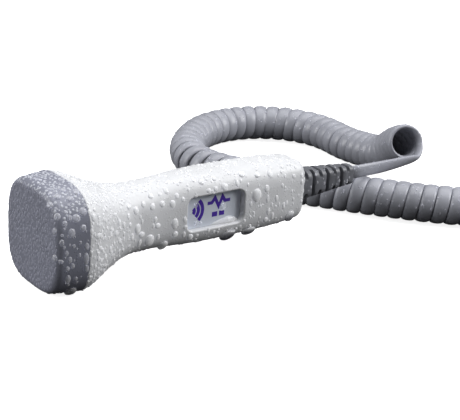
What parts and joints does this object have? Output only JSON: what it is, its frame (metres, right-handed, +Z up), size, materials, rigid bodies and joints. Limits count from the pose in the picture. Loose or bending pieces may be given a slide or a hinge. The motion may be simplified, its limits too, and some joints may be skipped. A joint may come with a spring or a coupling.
{
  "type": "ultrasound transducer probe",
  "caption": "Hand-held ultrasound probe with a broad flat acoustic face, waisted grip, slotted strain relief and a curly cord that ends in a round plug.",
  "frame": {"origin": "on the surface that the probe lies on, under the middle of the probe without its cord: half way from the acoustic face to the end of the strain relief", "axes": "+X from the acoustic face to the tail, -Y the label side, +Z up"},
  "size_m": [0.366, 0.1738, 0.042],
  "materials": {
    "cap_plastic": "satin grey moulded plastic",
    "housing_plastic": "satin white moulded plastic",
    "seal_rubber": "matte",
    "label_film": "printed satin film",
    "crystal": "silvered ceramic",
    "backing_foam": "matte foam rubber",
    "divider_board": "matte",
    "carrier_plastic": "matte",
    "thin_brass": "satin",
    "wire_jacket": "satin",
    "board_laminate": "gloss",
    "ferrite": "matte",
    "chip_plastic": "matte",
    "tinned_steel": "brushed",
    "capacitor_body": "matte",
    "connector_plastic": "matte",
    "ferrule_metal": "brushed",
    "clip_steel": "brushed",
    "relief_rubber": "satin dark rubber",
    "cord_jacket": "satin grey jacket",
    "plug_plastic": "satin",
    "shell_metal": "satin",
    "insert_plastic": "matte",
    "pin_metal": "polished"
  },
  "bodies": {
    "root": {"front_cap": "cap_plastic", "housing": "housing_plastic", "cap_seal": "seal_rubber", "label_inlay": "label_film", "circuit_board": "board_laminate", "tuning_coils": "ferrite", "amplifier_chip": "chip_plastic", "screening_can": "tinned_steel", "board_capacitors": "capacitor_body", "cord_header": "connector_plastic", "cord_socket": "connector_plastic", "cord_cores": "wire_jacket", "strain_relief": "relief_rubber", "transmit_crystal": "crystal", "receive_crystal": "crystal", "transmit_backing": "backing_foam", "receive_backing": "backing_foam", "crystal_divider": "divider_board", "screening_cup": "thin_brass", "crystal_carrier": "carrier_plastic", "transmit_coax": "wire_jacket", "receive_coax": "wire_jacket", "retaining_clip": "clip_steel", "gland_seal": "seal_rubber", "cord_ferrule": "ferrule_metal", "inner_cord": "cord_jacket", "lead_cord": "cord_jacket", "curly_cord": "cord_jacket", "tail_cord": "cord_jacket", "plug_boot": "plug_plastic", "plug_grip": "plug_plastic", "plug_shell": "shell_metal", "plug_insert": "insert_plastic", "plug_pins": "pin_metal"}
  },
  "joints": []
}
